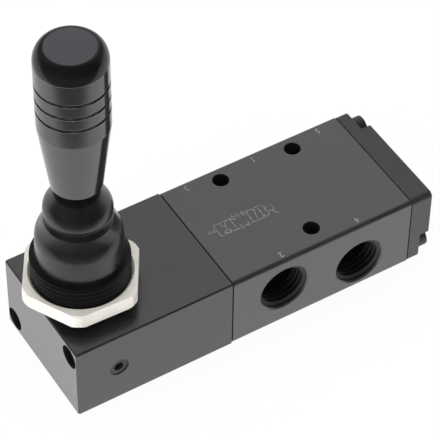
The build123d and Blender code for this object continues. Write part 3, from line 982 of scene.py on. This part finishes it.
@dataclass
class ValveHousing:
    """Control block, valve body and end cap with their gaskets and screws.

    Attributes:
        block: finish of the control block.
        body: finish of the valve body.
        cap: finish of the end cap.
        seals: finish of the block's gasket and the sealing rings.
        gasket: finish of the end cap's gasket.
        set_screw: finish of the set screw and the end cap's screws.
        screws: finish of the block's screws.
    """

    # Block, body, cap and screw finishes paint highlights on their edges; the block also paints light on its
    # end face, and block and body paint shade inside their holes.
    block: PaintedLightFinish = PaintedLightFinish(
        slot="black_anodised", colour=(0.010, 0.0105, 0.0105), shade=(0.0135, 0.014, 0.0145), roughness=0.25,
        ior=1.85, relief=0.0022 * MM, grain=5200.0, edge_highlight=0.25, edge_highlight_colour=grey(0.08), edge=0.1 * MM,
        painted_end_light=1.0)
    body: PaintedLightFinish = PaintedLightFinish(
        slot="black_anodised", colour=(0.0165, 0.0145, 0.018), shade=(0.021, 0.019, 0.0225), roughness=0.27,
        ior=2.0, relief=0.0022 * MM, grain=5200.0, edge_highlight=0.25, edge_highlight_colour=grey(0.1), edge=0.1 * MM)
    cap: Finish = Finish(
        slot="black_anodised", colour=(0.018, 0.019, 0.018), shade=(0.025, 0.026, 0.025), roughness=0.38,
        roughness_spread=0.12, ior=1.7, relief=0.006 * MM, grain=2600.0, edge_highlight=0.4, edge_highlight_colour=(0.12, 0.12, 0.11))
    seals: Finish = Finish(
        slot="nitrile", colour=grey(0.012), shade=grey(0.018), roughness=0.55,
        relief=0.005 * MM, grain=3000.0)
    gasket: Finish = Finish(
        slot="nitrile", colour=grey(0.045), shade=grey(0.06), roughness=0.5, ior=1.7,
        relief=0.003 * MM, grain=3000.0)
    set_screw: Finish = Finish(
        slot="black_steel", colour=grey(0.03), shade=grey(0.02), roughness=0.32,
        metallic=0.2, relief=0.003 * MM, grain=6000.0, edge_highlight=0.6, edge_highlight_colour=(0.3, 0.3, 0.29), edge=0.15 * MM)
    screws: Finish = Finish(
        slot="black_steel", colour=grey(0.2), shade=(0.12, 0.118, 0.115), roughness=0.3,
        metallic=0.6, relief=0.003 * MM, grain=6000.0, edge_highlight=0.9, edge_highlight_colour=(0.75, 0.74, 0.7), edge=0.2 * MM)

    def build(self) -> Material:
        """Dresses the housing.

        Returns:
            The body's material.
        """
        dress(self.block.around("control_block").build("block finish"), "control_block")
        body = self.body.around("valve_body").build("body finish")
        dress(body, "valve_body")
        dress(self.cap.build("cap finish"), "end_cap")
        seals = self.seals.build("seals finish")
        dress(seals, "block_gasket", "spool_seals", "lever_side_rod_seal", "cap_side_rod_seal", "neck_seal")
        dress(self.gasket.build("gasket finish"), "end_cap_gasket")
        dress(self.screws.build("screws finish"), "block_screws")
        dress(self.set_screw.build("set screw finish"), "detent_set_screw", "end_cap_screws")
        return body


@dataclass
class PortThreads:
    """Pipe threads in the five ports, as ridges on the walls of the holes.

    Attributes:
        pitches: thread pitch in metres by the hole's radius in millimetres.
        depth_share: depth of a pipe thread over its pitch.
        run_in: distance from the mouth to the first turn, in pitches.
        run_out: distance from the last turn to the floor, in pitches.
        overlap: how deep the ridges stand in the holes' walls.
    """

    pitches: dict[float, float] = field(default_factory=lambda: {6.6: 1.337 * MM, 4.88: 0.907 * MM})
    depth_share: float = 0.62
    run_in: float = 0.35
    run_out: float = 1.2
    overlap: float = 0.03 * MM

    def build(self, material: Material) -> None:
        """Makes the ridges of all ports as one piece.

        Args:
            material: the body's material.
        """
        recipe = ridge_recipe()
        whole = bmesh.new()
        for size, pitch in self.pitches.items():
            holes = [
                mount for mount in frame["record"]["mounts"]
                if mount["kind"] == "threaded_hole" and math.isclose(mount["dims"]["r_mm"], size)
            ]
            length = holes[0]["dims"]["length_mm"] * MM
            run = length - (self.run_out + self.run_in) * pitch
            places = bpy.data.meshes.new("port places")
            starts = [self.start_of(hole, length, run, pitch) for hole in holes]
            places.from_pydata(starts, [], [])
            outward = places.attributes.new("outward", "FLOAT_VECTOR", "POINT")
            for index, hole in enumerate(holes):
                outward.data[index].vector = hole["axis"]
            ridges = recipe.make(
                "ridges", places, material, Radius=size * MM + self.overlap,
                Depth=pitch * self.depth_share, Pitch=pitch, Length=run)
            whole.from_mesh(ridges)
        mesh = ended(whole, "port_threads")
        face_outward(mesh)
        smooth(mesh, THREAD_SMOOTH)
        add_piece("port_threads", mesh, material, Body.HOUSING)

    def start_of(self, hole: Mapping[str, Any], length: float, run: float, pitch: float) -> Vector:
        """Gives the inner end of a hole's ridge, on the hole's axis."""
        mouth = Vector(hole["pos_m"]) + Vector(hole["axis"]) * length / 2
        return mouth - Vector(hole["axis"]) * (run + self.run_in * pitch)


@dataclass
class TopMarks:
    """Port numbers and a flow symbol, marked in grey on the body's top.

    Attributes:
        line: width of a stroke in metres.
        film: thickness of the mark in metres.
        lift: height of the mark's middle above the surface.
        figure: height of a number in metres.
        inset: distance of the numbers from the body's long edges.
        square: side of one square of the symbol.
        joint: how near two points of a number lie to be joined.
        type_share: size of the type over the height of its figures.
        type_steps: steps on the curves of a number.
        symbol_place: the symbol's middle, from the body's middle along X, and its Y.
        squash: height of the symbol's squares over their width.
        barb: length and half width of an arrow's barbs, in squares.
        stub: length of a short line across a square's edge, in squares.
        flows: where each arrow starts and points to, in squares.
        finish: finish of the marks.
        numbers: the number that stands beside each port.
    """

    line: float = 0.2 * MM
    film: float = 0.03 * MM
    lift: float = 0.016 * MM
    figure: float = 1.7 * MM
    inset: float = 2.3 * MM
    square: float = 4.6 * MM
    joint: float = 0.0005 * MM
    type_share: float = 1.4
    type_steps: int = 3
    symbol_place: tuple[float, float] = (-13.2 * MM, -0.9 * MM)
    squash: float = 0.85
    barb: tuple[float, float] = (0.2, 0.08)
    stub: float = 0.2
    flows: tuple[tuple[float, float, float, float], ...] = (
        (0.3, 0.0, 0.3, 1.0), (0.7, 1.0, 0.55, 0.0), (2.3, 0.0, 2.7, 1.0), (2.7, 0.0, 2.3, 1.0))
    finish: Finish = Finish(
        slot="black_anodised", colour=(0.34, 0.335, 0.345), shade=(0.12, 0.118, 0.125), roughness=0.55,
        roughness_spread=0.1, cloud=2600.0, relief=0.002 * MM)
    numbers: dict[str, str] = field(default_factory=lambda: {
        "supply_port": "1", "work_port_lever_side": "2", "work_port_cap_side": "4",
        "exhaust_port_lever_side": "3", "exhaust_port_cap_side": "5",
    })

    def build(self) -> None:
        """Makes the marks as one piece."""
        material = self.finish.build("mark finish")
        low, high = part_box("valve_body")
        whole = bmesh.new()
        for name, text in self.numbers.items():
            mount = next(entry for entry in frame["record"]["mounts"] if entry["name"] == name)
            side = mount["axis"][1]
            edge = high.y if side > 0 else low.y
            place = Vector((mount["pos_m"][0], edge - side * self.inset, high.z + self.lift))
            self.add_number(whole, text, place)
        across, deep = self.symbol_place
        centre = Vector(((low.x + high.x) / 2 + across, deep, high.z + self.lift))
        whole.from_mesh(self.symbol(centre, material))
        add_piece("top_marks", ended(whole, "top_marks"), material, Body.HOUSING)

    def add_number(self, whole: bmesh.types.BMesh, text: str, place: Vector) -> None:
        """Adds a number that is read from the far side.

        Args:
            whole: the mesh that it joins.
            text: the number.
            place: its middle, on the body's top.
        """
        curve = bpy.data.curves.new("number", "FONT")
        curve.body = text
        curve.size = self.figure * self.type_share
        curve.align_x, curve.align_y = "CENTER", "CENTER"
        curve.extrude = self.film / 2
        curve.resolution_u = self.type_steps
        mesh = evaluated(linked(bpy.data.objects.new("number", curve)))
        merged(mesh, self.joint)
        mesh.transform(Matrix.Translation(place) @ Matrix.Rotation(math.pi, 4, "Z"))
        whole.from_mesh(mesh)

    def symbol(self, centre: Vector, material: Material) -> Mesh:
        """Makes the symbol of a five-port, three-position valve with a lever and a detent.

        Args:
            centre: middle of the symbol, on the body's top.
            material: the marks' material.

        Returns:
            The strokes' mesh, in place.
        """
        squares = [[(x, 0), (x, 1)] for x in range(4)] + [[(0, 0), (3, 0)], [(0, 1), (3, 1)]]
        arrows = [part for flow in self.flows for part in self.arrow(flow[:2], flow[2:])]
        shut = [part for x in (1.3, 1.7) for part in self.stopped(x, 1, -1, 0.1)]
        shut += [part for x in (1.2, 1.5, 1.8) for part in self.stopped(x, 0, 1, 0.08)]
        lever = [[(0, 0.3), (-0.45, 0.3), (-0.45, 0.7), (0, 0.7)], [(-0.22, 0.7), (-0.5, 1.15)]]
        notches = [(3.5 - 0.1 * step, 0.42 if step % 2 else 0.5) for step in range(6)]
        detent = [(3.0, 0.3), (3.5, 0.3), *notches]
        points, edges = [], []
        tall = self.square * self.squash
        for line in (*squares, *arrows, *shut, *lever, detent):
            first = len(points)
            points += [((1.5 - x) * self.square, (0.5 - y) * tall, 0.0) for x, y in line]
            edges += [(first + step, first + step + 1) for step in range(len(line) - 1)]
        drawn = bpy.data.meshes.new("symbol lines")
        drawn.from_pydata(points, edges, [])
        mesh = stroke_recipe().make("symbol", drawn, material, Width=self.line, Thickness=self.film)
        mesh.transform(Matrix.Translation(centre))
        return mesh

    def arrow(self, low: tuple[float, float], high: tuple[float, float]) -> list[Outline]:
        """Gives the lines of an arrow.

        Args:
            low: where the arrow starts, in squares.
            high: where it points to.

        Returns:
            The shaft, and two barbs that each start at the tip.
        """
        way = Vector((high[0] - low[0], high[1] - low[1])).normalized()
        side = Vector((-way.y, way.x)) * self.barb[1]
        tip = Vector(high)
        barbs = [[tuple(tip), tuple(tip - way * self.barb[0] + side * turn)] for turn in (-1, 1)]
        return [[low, high], *barbs]

    def stopped(self, x: float, edge: float, inward: int, half: float) -> list[Outline]:
        """Gives the lines of a shut port: a stub with a bar inside the square, and one outside.

        Args:
            x: the port's place along the symbol, in squares.
            edge: height of the square's edge.
            inward: 1 where the square lies above the edge, -1 where it lies below.
            half: half width of the bar.

        Returns:
            The three lines.
        """
        bar = edge + self.stub * inward
        outside = edge - self.stub * inward
        return [[(x, edge), (x, bar)], [(x - half, bar), (x + half, bar)], [(x, edge), (x, outside)]]


@dataclass
class PanelNeck:
    """Threaded neck with its hexagon nut.

    Attributes:
        pitch: pitch of the neck's thread.
        depth_share: depth of the thread over its pitch.
        overshoot: how far the cutter stands out of the neck.
        flats: width of the nut across its flats.
        turned_radius: radius to which the nut's corners are turned.
        chamfer: chamfer of the nut's outer edges.
        countersink: chamfer of the nut's bore.
        turn: direction of one corner of the nut, in degrees from X.
        play: clearance between the nut's bore and the neck.
        trim: how much taller the trimming prism is than the nut.
        nut_smooth: angle up to which the nut is shaded smooth, in degrees.
        segments: steps round the nut before it is trimmed.
        neck: finish of the neck.
        nut: finish of the nut.
    """

    pitch: float = 1.5 * MM
    depth_share: float = 0.6
    overshoot: float = 0.1 * MM
    flats: float = 27.0 * MM
    turned_radius: float = 15.1 * MM
    chamfer: float = 0.4 * MM
    countersink: float = 0.6 * MM
    turn: float = -2.0
    play: float = 0.05 * MM
    trim: float = 2 * MM
    nut_smooth: float = 12.0
    segments: int = 180
    neck: Finish = Finish(
        slot="neck_black", colour=(0.003, 0.003, 0.0027), shade=(0.005, 0.005, 0.0045), roughness=0.4,
        ior=1.35, relief=0.002 * MM, grain=5000.0)
    nut: Finish = Finish(
        slot="nickel", colour=(0.86, 0.83, 0.77), shade=(0.78, 0.74, 0.67), roughness=0.36, metallic=0.3,
        turning=Turning.UPRIGHT, relief=0.003 * MM, grain=2600.0, cloud=260.0)

    def build(self) -> None:
        """Makes the threaded neck and the nut."""
        self.build_nut()
        self.build_neck()

    def build_nut(self) -> None:
        """Turns a chamfered ring and trims it to a hexagon."""
        low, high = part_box("panel_nut")
        middle = middle_of("panel_nut")
        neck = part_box("threaded_neck")
        bore = (neck[1].x - neck[0].x) / 2 + self.play
        outer, sink, cut = self.turned_radius, self.countersink, self.chamfer
        outline = [
            (bore + sink, low.z), (outer - cut, low.z), (outer, low.z + cut), (outer, high.z - cut),
            (outer - cut, high.z), (bore + sink, high.z), (bore, high.z - sink), (bore, low.z + sink),
        ]
        material = replace(self.nut, axis=(middle.x, middle.y, 0.0)).build("nut finish")
        mesh = hexagon_recipe().make(
            "hexagon_nut", turned_shell("nut blank", outline, middle, self.segments), material,
            Flats=self.flats, Turn=(0.0, 0.0, math.radians(self.turn)), Middle=tuple(middle),
            Height=high.z - low.z + self.trim)
        merged(mesh)
        smooth(mesh, self.nut_smooth)
        add_piece("hexagon_nut", mesh, material, Body.HOUSING, "panel_nut")

    def build_neck(self) -> None:
        """Cuts the thread into a copy of the neck."""
        material = self.neck.build("neck finish")
        low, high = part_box("threaded_neck")
        middle = middle_of("threaded_neck")
        blank = frame["nodes"]["threaded_neck"].data.copy()
        merged(blank)
        start = Vector((middle.x, middle.y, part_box("panel_nut")[0].z + self.pitch / 2))
        mesh = cut_recipe().make(
            "threaded_neck_cut", blank, material, Start=start, Pitch=self.pitch,
            Radius=(high.x - low.x) / 2 + self.overshoot,
            Depth=self.pitch * self.depth_share + self.overshoot,
            Length=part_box("rubber_boot")[0].z - start.z + self.pitch)
        smooth(mesh, THREAD_SMOOTH)
        add_piece("threaded_neck_cut", mesh, material, Body.HOUSING, "threaded_neck")


@dataclass
class RubberBoot:
    """Soft boot between the neck and the lever: band, shoulder, waist, upright rim and dome.

    Attributes:
        wall: thickness of the rubber.
        band: height of the straight band above the foot.
        waist: height of the waist above the foot.
        fold: height of the fold from the waist to the rim.
        rim: height of the upright rim.
        foot_radius: outer radius at the foot.
        shoulder_radius: outer radius at the band's top.
        waist_radius: outer radius at the waist.
        bulge_radius: outer radius of the rim.
        lip_radius: outer radius of the flat lip.
        foot_round: rounding of the foot's edge.
        shoulder_round: rounding between band and shoulder.
        rim_round: rounding of the rim's lower edge.
        dome_round: rounding between rim and dome.
        lip_round: rounding of the lip.
        crease: rounding of the waist and of the inner corners.
        bead: height of the small bead round the shoulder.
        bead_place: place of the bead, as a share of the shoulder's length.
        bead_share: half width of the bead, as a share of that length.
        shaft_gap: clearance round the lever's shaft.
        seat_radius: inner radius on the neck's seat.
        shaft_radius: radius of the lever's shaft.
        segments: steps round the boot.
        finish: finish of the rubber.
    """

    wall: float = 1.3 * MM
    band: float = 8.0 * MM
    waist: float = 13.5 * MM
    fold: float = 1.6 * MM
    rim: float = 2.15 * MM
    foot_radius: float = 10.7 * MM
    shoulder_radius: float = 10.4 * MM
    waist_radius: float = 7.3 * MM
    bulge_radius: float = 8.2 * MM
    lip_radius: float = 5.4 * MM
    foot_round: float = 0.3 * MM
    shoulder_round: float = 6.0 * MM
    rim_round: float = 0.5 * MM
    dome_round: float = 4.5 * MM
    lip_round: float = 0.2 * MM
    crease: float = 0.35 * MM
    bead: float = 0.12 * MM
    bead_place: float = 0.75
    bead_share: float = 0.05
    shaft_gap: float = 0.05 * MM
    seat_radius: float = 9.35 * MM
    shaft_radius: float = 3.0 * MM
    segments: int = 144
    finish: Finish = Finish(
        slot="boot_rubber", colour=grey(0.005), shade=grey(0.008), roughness=0.24,
        roughness_spread=0.1, ior=1.6, relief=0.005 * MM, grain=2200.0, cloud=300.0)

    def outline(self, foot: float, top: float) -> Outline:
        """Gives the boot's closed outline, in radius and height.

        Args:
            foot: height of the foot.
            top: height of the lip.

        Returns:
            The outline's points.
        """
        band, waist = foot + self.band, foot + self.waist
        fold = waist + self.fold
        shoulder, neck = Vector((self.shoulder_radius, band)), Vector((self.waist_radius, waist))
        slope = neck - shoulder
        out = Vector((slope.y, -slope.x)).normalized() * self.bead
        bead = []
        for share, height in BEAD_CORNERS:
            spot = shoulder + slope * (self.bead_place + share * self.bead_share) + out * height
            bead.append((spot.x, spot.y, 0.0))
        hole, inner = self.shaft_radius + self.shaft_gap, self.waist_radius - self.wall
        corners = [
            (self.seat_radius, foot, 0.0),
            (self.foot_radius, foot, self.foot_round),
            (*shoulder, self.shoulder_round),
            *bead,
            (*neck, self.crease),
            (self.bulge_radius, fold, self.rim_round),
            (self.bulge_radius, fold + self.rim, self.dome_round),
            (self.lip_radius, top, self.lip_round),
            (hole, top, self.lip_round),
            (hole, top - self.wall, 0.0),
            (inner, waist, self.crease),
            (self.seat_radius, band, self.crease),
        ]
        return eased(corners)

    def build(self) -> None:
        """Makes the boot as one fixed mesh and hides the imported one."""
        low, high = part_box("rubber_boot")
        middle = middle_of("rubber_boot")
        mesh = turned_shell("boot", self.outline(low.z, high.z), middle, self.segments)
        piece = mesh_object("boot", mesh, self.finish.build("boot finish"))
        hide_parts("rubber_boot")
        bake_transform(piece)
        LOG.info("boot: %d faces", len(mesh.polygons))


@dataclass
class Handle:
    """Lever shaft, turned grip and its round-edged cap.

    Attributes:
        disc_radius: radius of the cap's flat disc.
        disc_step: how far below the top the disc's finish starts.
        cap_edge: height of the cap's upright edge.
        plug_radius: radius of the plug that holds the cap in the grip.
        round_steps: steps on the cap's round.
        segments: steps round the cap.
        shaft: finish of the lever's shaft.
        grip: finish of the grip.
        cap: finish of the cap.
    """

    disc_radius: float = 5.8 * MM
    disc_step: float = 0.004 * MM
    cap_edge: float = 0.15 * MM
    plug_radius: float = 5.98 * MM
    round_steps: int = 24
    segments: int = 144
    shaft: Finish = Finish(
        slot="steel", colour=(0.5, 0.5, 0.49), shade=(0.42, 0.42, 0.41), roughness=0.24, metallic=1.0,
        turning=Turning.UPRIGHT, relief=0.002 * MM, grain=3000.0)
    # The grip finish paints highlights along its edges.
    grip: Finish = Finish(
        slot="grip_black", colour=grey(0.008), shade=(0.011, 0.011, 0.0105), roughness=0.13,
        roughness_spread=0.04, ior=1.85, turning=Turning.UPRIGHT, relief=0.0014 * MM, grain=3600.0,
        edge_highlight=0.9, edge_highlight_colour=(0.3, 0.3, 0.29), edge=0.2 * MM)
    cap: CapFinish = CapFinish(
        slot="cap_black", colour=(0.004, 0.004, 0.0035), shade=(0.006, 0.006, 0.005), roughness=0.1,
        roughness_spread=0.04, ior=1.4, relief=0.001 * MM, grain=1200.0)

    def build(self) -> None:
        """Dresses shaft and grip, and makes the cap."""
        middle = middle_of("handle_grip")
        axis = (middle.x, middle.y, 0.0)
        dress(replace(self.shaft, axis=axis).build("shaft finish"), "lever_shaft")
        dress(replace(self.grip, axis=axis).build("grip finish"), "handle_grip")
        self.build_cap()

    def build_cap(self) -> None:
        """Turns the cap: plug, short upright edge, deep round and flat disc."""
        low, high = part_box("handle_cap")
        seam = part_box("handle_grip")[1].z
        radius = (high.x - low.x) / 2
        outline = [(0.0, low.z), (self.plug_radius, low.z), (self.plug_radius, seam), (radius, seam)]
        foot = seam + self.cap_edge
        for step in range(self.round_steps + 1):
            turn = math.pi / 2 * step / self.round_steps
            across = self.disc_radius + (radius - self.disc_radius) * math.cos(turn)
            outline.append((across, foot + (high.z - foot) * math.sin(turn)))
        outline.append((0.0, high.z))
        mesh = turned_shell("round_cap", outline, middle_of("handle_cap"), self.segments)
        merged(mesh)
        face_outward(mesh)
        smooth(mesh)
        material = replace(self.cap, disc_height=high.z - self.disc_step).build("cap finish")
        add_piece("round_cap", mesh, material, Body.LEVER, "handle_cap")


@dataclass
class InnerParts:
    """Spool, bushings, rod and detent inside the housing.

    Attributes:
        aluminium: finish of the spool and the actuator rod.
        brass: finish of the bushings.
        steel: finish of pins, ball and spring.
    """

    aluminium: Finish = Finish(
        slot="plain_aluminium", colour=(0.72, 0.72, 0.74), shade=(0.62, 0.62, 0.64), roughness=0.28,
        metallic=1.0, turning=Turning.LENGTHWISE, relief=0.002 * MM, grain=3000.0)
    brass: Finish = Finish(
        slot="brass", colour=(0.75, 0.58, 0.3), shade=(0.62, 0.46, 0.22), roughness=0.26, metallic=1.0,
        turning=Turning.LENGTHWISE, relief=0.002 * MM, grain=3000.0)
    steel: Finish = Finish(
        slot="steel", colour=grey(0.6), shade=grey(0.5), roughness=0.2, metallic=1.0,
        relief=0.001 * MM, grain=5000.0)

    def build(self) -> None:
        """Dresses the inner parts."""
        centre = middle_of("spool")
        axis = (0.0, centre.y, centre.z)
        dress(replace(self.aluminium, axis=axis).build("spool finish"), "spool", "actuator_rod")
        bushings = replace(self.brass, axis=axis).build("bushing finish")
        dress(bushings, "lever_side_bushing", "cap_side_bushing")
        pins = self.steel.build("pin finish")
        dress(pins, "coupling_pin", "pivot_pin", "detent_ball", "detent_spring")


def corners(box: tuple[Vector, Vector]) -> list[list[float]]:
    """Gives a box's corners as plain lists."""
    return [list(map(float, corner)) for corner in box]


def main() -> None:
    """Builds the looks of the valve, piece by piece."""
    logging.basicConfig(level=logging.INFO, format="%(message)s")
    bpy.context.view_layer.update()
    Studio().build()
    body_finish = ValveHousing().build()
    InnerParts().build()
    PortThreads().build(body_finish)
    TopMarks().build()
    PanelNeck().build()
    RubberBoot().build()
    Handle().build()


if __name__ == "__main__":
    main()
